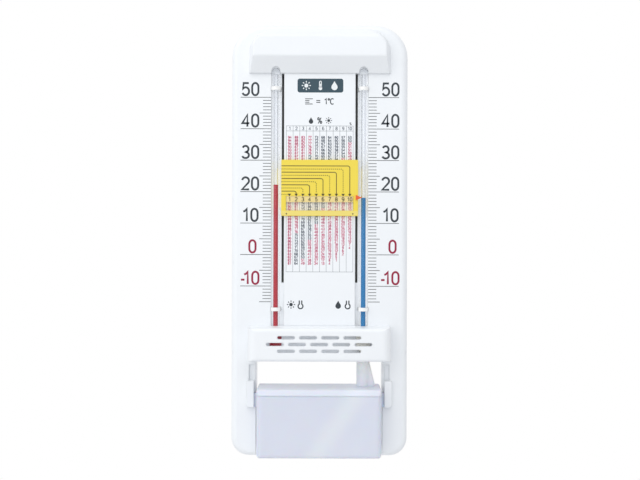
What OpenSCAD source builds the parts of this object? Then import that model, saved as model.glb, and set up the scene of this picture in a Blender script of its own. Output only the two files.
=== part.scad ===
// Wet and dry bulb hygrometer that hangs on a wall.
// Sizes are in millimetres. X runs to the right, Y into the wall and Z up.
// The origin is the middle of the hanging hole, where it meets the wall.
// A depth is a distance from the wall towards the viewer, so a point at depth d has y = -d.

/* [Body] */
// Width of the white body
body_w = 108; // [104:1:116]
// Depth from the wall to the face that carries the scales
body_d = 12; // [11.5:0.5:15]
// Thickness of the moulded walls
wall = 2; // [1.6:0.1:2.4]
// Radius of the two upper corners
top_r = 20; // [14:1:22]
// Radius of the outer corners at the feet of the legs
foot_r = 11; // [8:1:14]
// Radius of the rounded front edge
edge_r = 4; // [3:0.5:5]
// Height of the body above the hanging hole
above_hole = 13; // [12.5:0.5:18]

/* [Head] */
// Width of the raised head at its root
head_w = 89; // [82:0.2:92]
// Width of the front of the head
head_face_w = 82; // [76:0.2:84]
// Radius of the front's two upper corners
head_r = 7; // [4:0.5:8]
// Radius of the rounded edge round the front
head_edge_r = 1.5; // [1:0.1:2.5]
// How far the head stands out from the face
head_rise = 8; // [6:0.5:10]
// Drop from the top of the body to the flat front of the head
head_drop = 7.8; // [6:0.1:9]
// Height of the flat front of the head
head_face_h = 14; // [13:0.5:18]
// Height of the sloping ledge below it
ledge_h = 8.4; // [7:0.2:12]
// Step from the ledge down to the face
ledge_step = 1.8; // [1.2:0.1:2.4]

/* [Face] */
// Length of the face from the ledge down to the guard
face_l = 154.2; // [150:0.2:170]
// Width of the raised panel that carries the humidity table
panel_w = 43.6; // [42:0.2:44.4]
// How far the panel stands above the face
panel_rise = 0.8; // [0.4:0.1:1.2]
// Width of each slot beside the panel
slot_w = 1.5; // [1.3:0.1:1.7]
// Length of each slot
slot_l = 128; // [115:0.5:140]
// Width of the channel that holds a slot and a tube
channel_w = 7.8; // [7.6:0.1:9]
// Depth of the channel below the face
channel_d = 2.7; // [2.2:0.1:3]

/* [Thermometers] */
// Gap between each slot and its tube
tube_gap = 1; // [0.8:0.1:1.2]
// Diameter of the glass tubes
tube_d = 5; // [4.6:0.1:5.2]
// Diameter of the bore with the spirit column
bore_d = 1.9; // [1.2:0.1:2.4]
// Diameter of the bulbs
bulb_d = 7.6; // [6.6:0.2:8.4]
// Length of the bulbs
bulb_l = 11.8; // [10:0.2:12]
// Thickness of the glass round the bulbs
glass_t = 0.5; // [0.4:0.1:0.8]
// Height of the straps that hold the tubes
clip_h = 2.2; // [1.6:0.1:3]
// Thickness of the straps
clip_t = 0.5; // [0.4:0.05:0.6]
// Distance from the ledge to the middle of the upper straps
upper_clip_drop = 9.3; // [6:0.1:14]
// Distance from the guard to the middle of the lower straps
lower_clip_lift = 10.1; // [5:0.1:14]

/* [Scale] */
// Length of one degree Celsius
degree = 1.925; // [1.8:0.005:1.95]
// Distance from the ledge to the zero mark
zero_drop = 110.8; // [108:0.2:120]
// Reading of the dry bulb in degrees
dry_reading = 22.2; // [0:0.1:45]
// Reading of the wet bulb in degrees
wet_reading = 18.1; // [5:0.1:35]

/* [Slider] */
// How far the yellow slider reaches past each side of the panel
slider_over = 1.6; // [1.4:0.1:1.9]
// Height of the slider
slider_h = 34.2; // [30:0.2:38]
// Thickness of the slider
slider_t = 1.6; // [1.2:0.1:1.6]
// Distance from the top of the slider down to its pointer
pointer_drop = 23; // [20:0.5:25]
// Height of the pointer
pointer_h = 3.1; // [2:0.1:4]
// Thickness of the pointer
pointer_t = 1; // [0.6:0.1:1.4]
// Width of the clear window
window_w = 41; // [36:0.2:42]
// Height of the clear window
window_h = 8.8; // [6:0.2:9]
// Thickness of the plate that holds the slider from behind
keeper_t = 1.4; // [1:0.1:1.6]

/* [Guard] */
// Width of the guard in front of the bulbs
guard_w = 85.4; // [84:0.2:88]
// Height of the guard
guard_h = 19.8; // [19:0.2:24]
// How far the guard stands out from the face
guard_d = 17; // [14:0.5:20]
// Radius of the guard's upright front edges
guard_r = 5; // [3:0.5:6]
// Length of a louvre
louvre_l = 10.4; // [8:0.2:11]
// Height of a louvre
louvre_h = 1.9; // [1.2:0.1:2.4]
// Distance between louvres in a row
louvre_pitch = 13.1; // [12:0.1:13.6]
// Distance between the rows of louvres
row_pitch = 4; // [3.6:0.1:4.4]
// Diameter of the pegs that hold the guard
peg_d = 3; // [2.4:0.1:3.4]
// Length of the pegs
peg_l = 5; // [4:0.2:6]

/* [Legs and tank] */
// Gap between the tank and each leg
tank_gap = 1.4; // [1:0.1:2.4]
// How far the legs reach below the tank
leg_below = 2.6; // [0:0.2:6]
// Gap between the guard and the tank
gap_h = 16.9; // [14:0.1:22]
// Width of the water tank
tank_w = 74.6; // [70:0.2:75.6]
// Height of the tank
tank_h = 40.8; // [34:0.2:50]
// Depth of the tank from back to front
tank_d = 24; // [20:0.5:28]
// Gap between the tank and the wall
tank_back = 4; // [1:0.5:6]
// Thickness of the tank's walls
tank_t = 1.6; // [1.2:0.1:2]
// Height of the tank's lid
lid_h = 3.9; // [3:0.1:5]
// Outer diameter of the neck
neck_d = 8; // [7.4:0.1:8.6]
// Bore of the neck
neck_bore = 6.2; // [5.4:0.1:6.6]
// Width of the ears that slide in the legs
ear_w = 5.6; // [5:0.1:6]
// Thickness of the ears
ear_t = 1.4; // [1:0.1:1.8]
// Length of the ears
ear_l = 8.4; // [6:0.2:12]
// Distance of each guide block from the opening
guide_gap = 1; // [0.6:0.1:1.4]
// Width of the guide blocks
guide_w = 4.6; // [4.4:0.1:5.4]
// Height of the guide blocks
guide_h = 16.2; // [14:0.2:18]
// How far the guide blocks stand out from the legs
guide_rise = 3.4; // [3:0.1:4]

/* [Wick] */
// Thickness of the gauze sleeve
sleeve_t = 0.5; // [0.3:0.1:0.7]
// Diameter of the tail of the wick
tail_d = 4.4; // [3:0.1:4.8]
// Length of the tail of the wick
tail_l = 56; // [40:1:58]
// Diameter of the thread that ties the sleeve
thread_d = 0.6; // [0.4:0.1:0.8]

/* [Hanger] */
// Radius of the hanging hole
hole_r = 4.5; // [4:0.1:5]
// Half width of the slot above the hanging hole
keyhole_r = 2.3; // [1.8:0.1:2.6]
// Height of the slot's upper end above the hole's middle
keyhole_rise = 5.4; // [4:0.1:5.6]
// Width of the steel hanger plate
hanger_w = 40; // [36:1:48]
// Thickness of the hanger plate
hanger_t = 1.5; // [1:0.1:2]
// Distance of each hanger screw from the middle
screw_x = 15; // [13:0.5:16]
// Diameter of the screws
screw_d = 2.6; // [2.2:0.1:3]
// Length of the screws
screw_l = 9; // [7:0.5:11]
// Width of a wing of the cross recess in the screws
recess_w = 0.6; // [0.4:0.1:0.8]
// Length of a wing of the cross recess
recess_l = 3; // [2:0.1:3.4]
// Depth of the cross recess
recess_d = 0.9; // [0.5:0.1:1]

/* [Rear cover] */
// Thickness of the cover that closes the back
cover_t = 1.2; // [0.8:0.1:2]
// Gap between the cover and the wall
cover_gap = 1.6; // [1.5:0.1:2.5]
// Distance of each cover screw from the body's side
cover_screw_inset = 8; // [7:0.5:12]
// Drop from the ledge to the upper cover screws
cover_screw_drop = 12.8; // [10:0.2:16]
// Height of the lower cover screws above the guard's upper edge
cover_screw_lift = 11.4; // [9:0.2:14]
// Length of the cover screws below their heads
cover_screw_l = 7; // [5:0.5:7.5]
// Thickness of the moulded ribs inside
rib_t = 1.5; // [1:0.1:2]

/* [Hidden] */
$fn = 48;

// Steps in an arc that rounds a corner of an outline
arc_steps = 6;
// Play between a part and what holds it
fit = 0.1;
// Gap between parts that slide on each other
play = 0.3;
// Gap between a column of spirit and its glass
film = 0.03;
// How far a cut runs past the surface that it opens
cut = 1;

// Opening between the legs
opening_w = tank_w + 2 * tank_gap;
// Width of the slider
slider_w = panel_w + 2 * slider_over;
// Distance of each tube from the middle
tube_x = panel_w / 2 + slot_w + tube_gap + tube_d / 2;

// Depths from the wall
face = body_d;
face_back = face - wall;
panel_face = face + panel_rise;
head_face = face + head_rise;
channel_floor = face - channel_d;
trough_back = channel_floor - wall;
recess_floor = face - 5;
tube_depth = channel_floor + 0.2 + tube_d / 2;
slider_back = panel_face + play;
slider_face = slider_back + slider_t;
keeper_face = face_back - play;
keeper_back = keeper_face - keeper_t;
hook_t = 1;
flange_margin = 5;
flange_back = keeper_back - fit - hook_t;
guard_face = face + guard_d;
tank_face = tank_back + tank_d;
cover_face = cover_gap + cover_t;

// Heights
body_top = above_hole;
head_top = body_top - head_drop;
head_low = head_top - head_face_h;
ledge_low = head_low - ledge_h;
notch_r = tube_d / 2 + 2 * fit;
notch_top = ledge_low + 3.6;
tube_top = notch_top - play;
bore_top = tube_top - 4;
slot_low = ledge_low - slot_l;
guard_top = ledge_low - face_l;
guard_low = guard_top - guard_h;
recess_top = guard_top - 1.6;
opening_top = guard_low + 0.7;
tank_top = guard_low - gap_h;
tank_low = tank_top - tank_h;
foot_z = tank_low - leg_below;
stem_low = guard_top - wall - 1.2;
shoulder_low = stem_low - 1.8;
bulb_low = stem_low - bulb_l;
sleeve_top = guard_top - wall - 0.6;
sleeve_low = bulb_low - 0.8;
tail_low = sleeve_low - tail_l;
neck_top = sleeve_low - 1.4;
seam = tank_top - lid_h;
ear_top = seam - play;
ear_low = ear_top - ear_l;
guide_low = ear_low - play;
guide_top = guide_low + guide_h;
pocket_h = 9.5;
upper_clip_z = ledge_low - upper_clip_drop;
lower_clip_z = guard_top + lower_clip_lift;
hanger_low = -hole_r - 3.5;
cover_top = hanger_low - 1;
cover_low = opening_top + wall;
cover_screw_x = body_w / 2 - cover_screw_inset;
cover_screw_heights = [ledge_low - cover_screw_drop, guard_top + cover_screw_lift];
pointer_z = scale_z(wet_reading);
slider_top = pointer_z + pointer_drop;
slider_low = slider_top - slider_h;
window_top = pointer_z + 0.9;
window_low = window_top - window_h;

// Distances from the middle
channel_out = panel_w / 2 + channel_w;
flange_in = panel_w / 2 + play;
flange_out = panel_w / 2 + slot_w - 0.2;
recess_x = 36;
peg_x = guard_w / 2 - 1.8;
peg_heights = [guard_top - 4.5, guard_low + 5];
ear_x = tank_w / 2 + ear_w;
guide_in = opening_w / 2 + guide_gap;
guide_x = guide_in + guide_w;

white = [0.95, 0.97, 0.98];
glass = [0.86, 0.9, 0.92, 0.6];
milky = [0.82, 0.84, 0.92, 0.8];
steel = [0.7, 0.71, 0.73];
grey = [0.3, 0.31, 0.33];
gauze = [0.93, 0.92, 0.87];

// Height of a temperature on both scales
function scale_z(t) = ledge_low - zero_drop + degree * t;

function unit(v) = v / norm(v);

// Arc of radius r that rounds the corner p between the neighbouring points a and b
function corner_arc(a, p, b, r) =
    r == 0 ? [p] :
    let (to_a = unit(a - p))
    let (to_b = unit(b - p))
    let (half = acos(to_a * to_b) / 2)
    let (centre = p + unit(to_a + to_b) * r / sin(half))
    let (first = p + to_a * r / tan(half) - centre)
    let (last = p + to_b * r / tan(half) - centre)
    let (start = atan2(first.y, first.x))
    let (full = atan2(last.y, last.x) - start)
    let (turn = full > 180 ? full - 360 : full < -180 ? full + 360 : full)
    [for (i = [0:arc_steps]) let (t = start + turn * i / arc_steps) centre + r * [cos(t), sin(t)]];

// Outline through the points, with the radius of each corner
function soft(points, radii) =
    let (n = len(points))
    [for (i = [0:n - 1]) each corner_arc(points[(i + n - 1) % n], points[i], points[(i + 1) % n], radii[i])];

// Corners of a rectangle, from the lower left one round
function rectangle(x, y) = [[x[0], y[0]], [x[1], y[0]], [x[1], y[1]], [x[0], y[1]]];

// Box between two values of x, of depth and of height
module block(x, d, z) {
    translate([x[0], -d[1], z[0]])
        cube([x[1] - x[0], d[1] - d[0], z[1] - z[0]]);
}

// Outline in x and height, extruded between two depths
module front_prism(d) {
    translate([0, -d[0], 0])
        rotate([90, 0, 0])
            linear_extrude(d[1] - d[0])
                children();
}

// Outline in x and depth, extruded between two heights
module plan_prism(z) {
    translate([0, 0, z[0]])
        linear_extrude(z[1] - z[0])
            mirror([0, 1])
                children();
}

// Outline in depth and height, extruded between two values of x
module side_prism(x) {
    translate([x[0], 0, 0])
        rotate([90, 0, 90])
            linear_extrude(x[1] - x[0])
                mirror([1, 0])
                    children();
}

module both_sides() {
    children();
    mirror([1, 0, 0])
        children();
}

// Outline of the body, drawn in by inset
module body_outline(inset) {
    half = body_w / 2 - inset;
    low_corner = foot_z + foot_r;
    high_corner = body_top - top_r;
    translate([-half, low_corner])
        square([2 * half, high_corner - low_corner]);
    translate([-(body_w / 2 - top_r), low_corner])
        square([body_w - 2 * top_r, body_top - inset - low_corner]);
    translate([-(body_w / 2 - foot_r), foot_z + inset])
        square([body_w - 2 * foot_r, high_corner - foot_z - inset]);
    for (side = [-1, 1]) {
        translate([side * (body_w / 2 - top_r), high_corner])
            circle(top_r - inset);
        translate([side * (body_w / 2 - foot_r), low_corner])
            circle(foot_r - inset);
    }
}

// Section of the body's rim, r wide, with its rounded front edge
module rim_section(r) {
    square([r, body_d - edge_r]);
    square([r - edge_r, body_d]);
    translate([r - edge_r, body_d - edge_r])
        circle(edge_r);
}

// Quarter turn of the rim round a corner at x, z
module rim_corner(x, z, r, turn) {
    translate([x, 0, z])
        rotate([90, 0, 0])
            rotate([0, 0, turn])
                rotate_extrude(angle = 90)
                    rim_section(r);
}

// Straight stretch of the rim, from x, z in the direction turn
module rim_bar(x, z, r, turn, length) {
    translate([x, 0, z])
        rotate([90, 0, 0])
            rotate([0, 0, turn])
                rotate([90, 0, 0])
                    linear_extrude(length)
                        rim_section(r);
}

module body_slab() {
    high_corner = body_top - top_r;
    low_corner = foot_z + foot_r;
    side_l = high_corner - low_corner;
    top_half = body_w / 2 - top_r;
    foot_half = body_w / 2 - foot_r;
    block([-top_half, top_half], [0, body_d], [low_corner, high_corner]);
    rim_bar(top_half, high_corner, top_r, 0, side_l);
    rim_bar(-top_half, low_corner, top_r, 180, side_l);
    rim_bar(-top_half, high_corner, top_r, 90, 2 * top_half);
    rim_bar(foot_half, low_corner, foot_r, -90, 2 * foot_half);
    rim_corner(top_half, high_corner, top_r, 0);
    rim_corner(-top_half, high_corner, top_r, 90);
    rim_corner(-foot_half, low_corner, foot_r, 180);
    rim_corner(foot_half, low_corner, foot_r, -90);
}

// Layer of the head between two depths, with rounded upper corners
module head_layer(w, z, r, d) {
    front_prism(d)
        polygon(soft(rectangle([-w / 2, w / 2], z), [0, 0, r, r]));
}

// Raised head with its sloping sides, its ledge and the rounded edge of its front
module head_block() {
    root = body_d - edge_r;
    skin = 0.1;
    slope_part = (face + ledge_step - root) / (head_face - head_edge_r - root);
    ledge_w = head_w + (head_face_w - head_w) * slope_part;
    hull() {
        head_layer(head_w, [ledge_low, body_top - 2 * fit], top_r - 1, [root, root + skin]);
        head_layer(ledge_w, [ledge_low, ledge_low + 1], 0, [root, face + ledge_step]);
        for (turn = [0:30:90]) {
            inset = head_edge_r * (1 - cos(turn));
            depth = head_face - head_edge_r * (1 - sin(turn));
            head_layer(head_face_w - 2 * inset, [head_low + inset, head_top - inset], head_r - inset,
                [depth - skin, depth]);
        }
    }
}

// Hollow behind the face and the head
module body_hollow() {
    front_prism([-cut, face_back])
        difference() {
            body_outline(wall);
            translate([-opening_w / 2 - wall, foot_z - cut])
                square([opening_w + 2 * wall, opening_top + wall - foot_z + cut]);
        }
    block([-head_face_w / 2 + 2 * wall, head_face_w / 2 - 2 * wall], [face_back - cut, head_face - wall],
        [head_low, head_top - wall]);
}

// Box behind the channel of one tube
module trough() {
    depth = [trough_back, face_back + wall / 2];
    block([panel_w / 2 + slot_w, channel_out + wall], depth, [recess_top, notch_top + wall]);
    block([panel_w / 2 - wall, channel_out + wall], depth, [recess_top, slot_low]);
}

// Channel for one tube, with the notch for its top in the ledge
module channel_cut() {
    block([panel_w / 2, channel_out], [channel_floor, panel_face + cut], [recess_top - cut, ledge_low]);
    front_prism([channel_floor, head_face + cut]) {
        translate([tube_x - notch_r, ledge_low - cut])
            square([2 * notch_r, notch_top - notch_r - ledge_low + cut]);
        translate([tube_x, notch_top - notch_r])
            circle(notch_r);
    }
}

module slot_cut() {
    block([panel_w / 2, panel_w / 2 + slot_w], [-cut, panel_face + cut], [slot_low, ledge_low]);
}

// Holes for the two legs of a strap, which also notch the channel's side
module clip_holes(z) {
    leg = [tube_d / 2 + fit / 2, tube_d / 2 + fit / 2 + clip_t];
    height = [z - clip_h / 2 - fit, z + clip_h / 2 + fit];
    depth = [trough_back - cut, face + cut];
    block([tube_x + leg[0] - fit, tube_x + leg[1] + fit], depth, height);
    block([tube_x - leg[1] - fit, tube_x - leg[0] + fit], depth, height);
}

// Guide on a leg, in which an ear of the tank slides
module guide_block() {
    outline = rectangle([guide_in, guide_x], [guide_low, guide_top]);
    front_prism([face_back, face + guide_rise])
        polygon(soft(outline, [0, 2.2, 0.8, 0]));
}

module guide_cut() {
    front = face + ear_t + 2 * play;
    block([opening_w / 2 - cut, ear_x + play], [face, front], [guide_low - cut, ear_top + play]);
    block([opening_w / 2 + play, ear_x - play], [face, face + ear_t], [ear_top, guide_top + cut]);
}

// Shallow pocket in the leg above the guide
module leg_pocket() {
    block([guide_in, ear_x], [face - wall * 0.6, face + cut],
        [guide_top, guide_top + pocket_h]);
}

module peg_socket(z) {
    front_prism([face - peg_l, face_back + wall / 2])
        translate([peg_x, z])
            circle(peg_d / 2 + fit + 1.6);
}

module peg_hole(z) {
    front_prism([face - peg_l - cut, face + cut])
        translate([peg_x, z])
            circle(peg_d / 2 + fit);
}

module hanger_boss() {
    front_prism([hanger_t, head_face - wall / 2])
        translate([screw_x, 0])
            circle(screw_d / 2 + 2.2);
}

module hanger_pilot() {
    front_prism([hanger_t - cut, screw_l + cut])
        translate([screw_x, 0])
            circle(screw_d / 2 + fit / 2);
}

// Ribs beside a tube and across the body, which carry the rear cover
module ribs() {
    depth = [cover_face, face_back + wall / 2];
    side = body_w / 2 - wall / 2;
    for (i = [1:3])
        translate([0, 0, ledge_low - i * face_l / 4])
            block([channel_out + wall / 2, side], depth, [-rib_t / 2, rib_t / 2]);
    block([0, side], depth, [cover_top - rib_t, cover_top]);
    block([0, side], depth, [cover_low, cover_low + rib_t]);
}

module cover_boss(z) {
    front_prism([cover_face, face_back + wall / 2])
        translate([cover_screw_x, z])
            circle(screw_d / 2 + 1.8);
}

// Pilot hole, or with extra the clearance hole, of a cover screw
module cover_hole(z, extra) {
    front_prism([0, cover_gap + cover_screw_l + fit])
        translate([cover_screw_x, z])
            circle(screw_d / 2 + extra);
}

module base_shell() {
    color(white)
        difference() {
            union() {
                difference() {
                    union() {
                        body_slab();
                        head_block();
                    }
                    body_hollow();
                }
                block([-panel_w / 2, panel_w / 2], [face_back, panel_face], [guard_top, ledge_low]);
                block([-recess_x - wall, recess_x + wall], [recess_floor - wall, face_back + wall / 2],
                    [opening_top, recess_top + wall]);
                both_sides() {
                    trough();
                    guide_block();
                    hanger_boss();
                    ribs();
                    for (z = cover_screw_heights)
                        cover_boss(z);
                    for (z = peg_heights)
                        peg_socket(z);
                }
            }
            block([-opening_w / 2, opening_w / 2], [-cut, face + cut], [foot_z - cut, opening_top]);
            block([-recess_x, recess_x], [recess_floor, face + cut], [opening_top - cut, recess_top]);
            both_sides() {
                channel_cut();
                slot_cut();
                clip_holes(upper_clip_z);
                clip_holes(lower_clip_z);
                guide_cut();
                leg_pocket();
                hanger_pilot();
                for (z = cover_screw_heights)
                    cover_hole(z, fit / 2);
                for (z = peg_heights)
                    peg_hole(z);
            }
        }
}

// Sheet that closes the back of the body
module rear_cover() {
    half = body_w / 2 - wall - 2 * fit;
    color(grey)
        difference() {
            block([-half, half], [cover_gap, cover_face], [cover_low, cover_top]);
            both_sides()
                for (z = cover_screw_heights)
                    cover_hole(z, fit);
        }
}

module cover_screw(z) {
    head_r = screw_d;
    head_h = cover_gap - 0.3;
    translate([cover_screw_x, -cover_gap, z])
        rotate([90, 0, 0])
            difference() {
                union() {
                    cylinder(h = cover_screw_l, d = screw_d);
                    translate([0, 0, -head_h])
                        cylinder(h = head_h, r = head_r);
                }
                translate([0, 0, -head_h])
                    cross_recess();
            }
}

module cover_screws() {
    color(steel)
        both_sides()
            for (z = cover_screw_heights)
                cover_screw(z);
}

module hanger_plate() {
    high = keyhole_rise + keyhole_r + 2.2;
    color(steel)
        difference() {
            front_prism([0, hanger_t])
                polygon(soft(rectangle([-hanger_w / 2, hanger_w / 2], [hanger_low, high]), [3, 3, 3, 3]));
            front_prism([-cut, hanger_t + cut]) {
                circle(hole_r);
                translate([-keyhole_r, 0])
                    square([2 * keyhole_r, keyhole_rise]);
                translate([0, keyhole_rise])
                    circle(keyhole_r);
            }
            both_sides()
                countersunk(fit);
        }
}

// Countersunk screw, or with extra above 0 the hole for it
module countersunk(extra) {
    translate([screw_x, 0, 0])
        rotate([90, 0, 0]) {
            cylinder(h = hanger_t, r1 = screw_d + extra, r2 = screw_d / 2 + extra);
            cylinder(h = screw_l, r = screw_d / 2 + (extra > 0 ? extra : 0));
        }
}

// Cross recess in the end of a screw that points along Z
module cross_recess() {
    for (turn = [0, 90])
        rotate([0, 0, turn])
            translate([-recess_l / 2, -recess_w / 2, -cut])
                cube([recess_l, recess_w, cut + recess_d]);
}

module hanger_screws() {
    color(steel)
        both_sides()
            difference() {
                countersunk(0);
                translate([screw_x, 0, 0])
                    rotate([90, 0, 0])
                        cross_recess();
            }
}

// Round bottom of a bulb of radius r, from its side to the axis
function bulb_arc(r) =
    let (middle = bulb_low + bulb_d / 2)
    [for (i = [0:8]) [r * cos(i * 90 / 8), middle - r * sin(i * 90 / 8)]];

// Sealed thermometer tube with its hollow bulb
module tube_glass() {
    r = tube_d / 2;
    dome = [for (i = [0:6]) [r * sin(i * 15), tube_top - r + r * cos(i * 15)]];
    inner = bulb_d / 2 - glass_t;
    lining = bulb_arc(inner);
    translate([tube_x, -tube_depth, 0])
        rotate_extrude()
            polygon(concat(dome, [[r, stem_low], [bulb_d / 2, shoulder_low]], bulb_arc(bulb_d / 2),
                [for (i = [8:-1:0]) lining[i]],
                [[inner, shoulder_low], [bore_d / 2, stem_low], [bore_d / 2, bore_top], [0, bore_top]]));
}

// Spirit in the bulb and in the bore up to a temperature
module tube_spirit(reading) {
    r = bulb_d / 2 - glass_t - film;
    bore = bore_d / 2 - film;
    translate([tube_x, -tube_depth, 0])
        rotate_extrude()
            polygon(concat([[0, scale_z(reading)], [bore, scale_z(reading)], [bore, stem_low],
                [r, shoulder_low]], bulb_arc(r)));
}

module dry_bulb_glass() {
    color(glass)
        mirror([1, 0, 0])
            tube_glass();
}

module dry_bulb_spirit() {
    color([0.8, 0.13, 0.16])
        mirror([1, 0, 0])
            tube_spirit(dry_reading);
}

module wet_bulb_glass() {
    color(glass)
        tube_glass();
}

module wet_bulb_spirit() {
    color([0.12, 0.42, 0.72])
        tube_spirit(wet_reading);
}

// Strap over a tube, with its legs clinched behind the channel
module tube_clip(z) {
    inner = tube_d / 2 + fit / 2;
    outer = inner + clip_t;
    leg_l = tube_depth - trough_back + fit + clip_t;
    foot_l = 1.4;
    color(white)
        plan_prism([z - clip_h / 2, z + clip_h / 2])
            translate([tube_x, tube_depth])
                difference() {
                    union() {
                        circle(outer);
                        translate([-outer, -leg_l])
                            square([2 * outer, leg_l]);
                    }
                    circle(inner);
                    translate([-inner, -leg_l + clip_t])
                        square([2 * inner, leg_l - clip_t]);
                    translate([-inner + foot_l, -leg_l - cut])
                        square([2 * (inner - foot_l), clip_t + 2 * cut]);
                }
}

module dry_upper_clip() {
    mirror([1, 0, 0])
        tube_clip(upper_clip_z);
}

module dry_lower_clip() {
    mirror([1, 0, 0])
        tube_clip(lower_clip_z);
}

module wet_upper_clip() {
    tube_clip(upper_clip_z);
}

module wet_lower_clip() {
    tube_clip(lower_clip_z);
}

// Yellow plate with its two flanges through the slots
module slider_plate() {
    outline = rectangle([-slider_w / 2, slider_w / 2], [slider_low, slider_top]);
    flange = [slider_low + flange_margin, slider_top - flange_margin];
    color([0.95, 0.84, 0.25])
        difference() {
            union() {
                front_prism([slider_back, slider_face])
                    polygon(soft(outline, [0.6, 0.6, 0.6, 0.6]));
                both_sides() {
                    block([flange_in, flange_out], [flange_back, slider_back + slider_t / 2], flange);
                    block([flange_in - 0.7, flange_out], [flange_back, flange_back + hook_t], flange);
                }
            }
            block([-window_w / 2, window_w / 2], [slider_back - cut, slider_face + cut],
                [window_low, window_top]);
        }
}

module slider_window() {
    color([0.85, 0.9, 0.9, 0.5])
        block([-window_w / 2 + fit, window_w / 2 - fit], [slider_back + fit, slider_face - fit],
            [window_low + fit, window_top - fit]);
}

module slider_pointer() {
    base_x = slider_w / 2 - 1.4;
    color([0.93, 0.36, 0.16])
        front_prism([slider_face, slider_face + pointer_t])
            polygon([[base_x, pointer_z - pointer_h / 2], [tube_x - 1, pointer_z],
                [base_x, pointer_z + pointer_h / 2]]);
}

// Plate behind the panel that keeps the slider on it
module slider_keeper() {
    color([0.88, 0.88, 0.86])
        block([-flange_in + fit, flange_in - fit], [keeper_back, keeper_face],
            [slider_low + flange_margin, slider_top - flange_margin]);
}

// Louvre with round ends, with its middle at x, z
module louvre(x, z) {
    straight = louvre_l - louvre_h;
    translate([x - straight / 2, z - louvre_h / 2])
        square([straight, louvre_h]);
    for (side = [-1, 1])
        translate([x + side * straight / 2, z])
            circle(louvre_h / 2);
}

module guard_louvres() {
    middle = (guard_top + guard_low) / 2 + 0.4;
    front_prism([guard_face - wall - cut, guard_face + cut])
        for (row = [-1, 0, 1]) {
            count = row == 0 ? 5 : 4;
            for (i = [0:count - 1])
                louvre((i - (count - 1) / 2) * louvre_pitch, middle + row * row_pitch);
        }
}

// Cover over the bulbs, open behind and below
module bulb_guard() {
    half = guard_w / 2;
    shell = rectangle([-half, half], [face, guard_face]);
    inside = rectangle([-half + wall, half - wall], [face - cut, guard_face - wall]);
    side = rectangle([face, guard_face], [guard_low, guard_top]);
    color(white) {
        difference() {
            intersection() {
                plan_prism([guard_low, guard_top])
                    polygon(soft(shell, [0, 0, guard_r, guard_r]));
                side_prism([-half, half])
                    polygon(soft(side, [0, 2, 2, 0]));
            }
            difference() {
                plan_prism([guard_low - cut, guard_top - wall])
                    polygon(soft(inside, [0, 0, guard_r - wall, guard_r - wall]));
                both_sides()
                    for (z = peg_heights)
                        block([peg_x - peg_d / 2 - 1, half], [face - cut, guard_face - guard_r],
                            [z - peg_d / 2 - 0.6, z + peg_d / 2 + 0.6]);
            }
            guard_louvres();
            both_sides()
                plan_prism([guard_top - wall - cut, guard_top + cut])
                    translate([tube_x, tube_depth])
                        circle(tube_d / 2 + 0.4);
        }
        both_sides()
            for (z = peg_heights)
                front_prism([face - peg_l, face + wall / 2])
                    translate([peg_x, z])
                        circle(peg_d / 2);
    }
}

// Gauze drawn over the wet bulb and gathered above and below it
module wick_sleeve() {
    r = bulb_d / 2 + fit;
    stem = tube_d / 2 + fit;
    waist = bulb_low + bulb_d / 2;
    color(gauze)
        translate([tube_x, -tube_depth, 0])
            rotate_extrude()
                difference() {
                    polygon([[stem, sleeve_top], [stem + sleeve_t, sleeve_top], [stem + sleeve_t, stem_low],
                        [r + sleeve_t, shoulder_low], [r + sleeve_t, waist], [r + sleeve_t - 0.7, waist - 2],
                        [tail_d / 2, sleeve_low], [0, sleeve_low], [0, waist], [r, waist], [r, shoulder_low],
                        [stem, stem_low]]);
                    intersection() {
                        translate([0, waist])
                            circle(r);
                        translate([-fit, waist - 2 * r])
                            square([2 * r, 2 * r + fit]);
                    }
                }
}

// Thread tied round the gathered sleeve
module wick_thread() {
    color([0.97, 0.96, 0.93])
        translate([tube_x, -tube_depth, (sleeve_top + stem_low) / 2])
            rotate_extrude()
                translate([tube_d / 2 + fit + sleeve_t + thread_d / 2, 0])
                    circle(thread_d / 2);
}

// Tail of the wick, which hangs through the neck into the tank
module wick_tail() {
    color(gauze)
        translate([tube_x, -tube_depth, tail_low])
            cylinder(h = tail_l, d = tail_d);
}

// Outer form of the closed tank
module tank_form() {
    half = tank_w / 2;
    front = rectangle([-half, half], [tank_low, tank_top]);
    plan = rectangle([-half, half], [tank_back, tank_face]);
    side = [[tank_back, tank_low], [tank_face, tank_low], [tank_face, seam], [tank_face - 2.5, tank_top],
        [tank_back, tank_top]];
    intersection() {
        front_prism([tank_back, tank_face])
            polygon(soft(front, [3, 3, 1, 1]));
        plan_prism([tank_low, tank_top])
            polygon(soft(plan, [2, 2, 3, 3]));
        side_prism([-half, half])
            polygon(soft(side, [1, 2, 1, 1, 1]));
    }
}

// Space inside the tank, inset from its form, between two heights
module tank_space(inset, z) {
    half = tank_w / 2 - inset;
    plan = rectangle([-half, half], [tank_back + inset, tank_face - inset]);
    plan_prism(z)
        polygon(soft(plan, [1, 1, 1, 1]));
}

module tank_body() {
    color(milky) {
        difference() {
            tank_form();
            block([-tank_w, tank_w], [0, tank_face + cut], [seam, tank_top + cut]);
            tank_space(tank_t, [tank_low + tank_t, tank_top]);
        }
        both_sides()
            block([tank_w / 2 - tank_t / 2, ear_x], [face + play, face + play + ear_t], [ear_low, ear_top]);
    }
}

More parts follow.
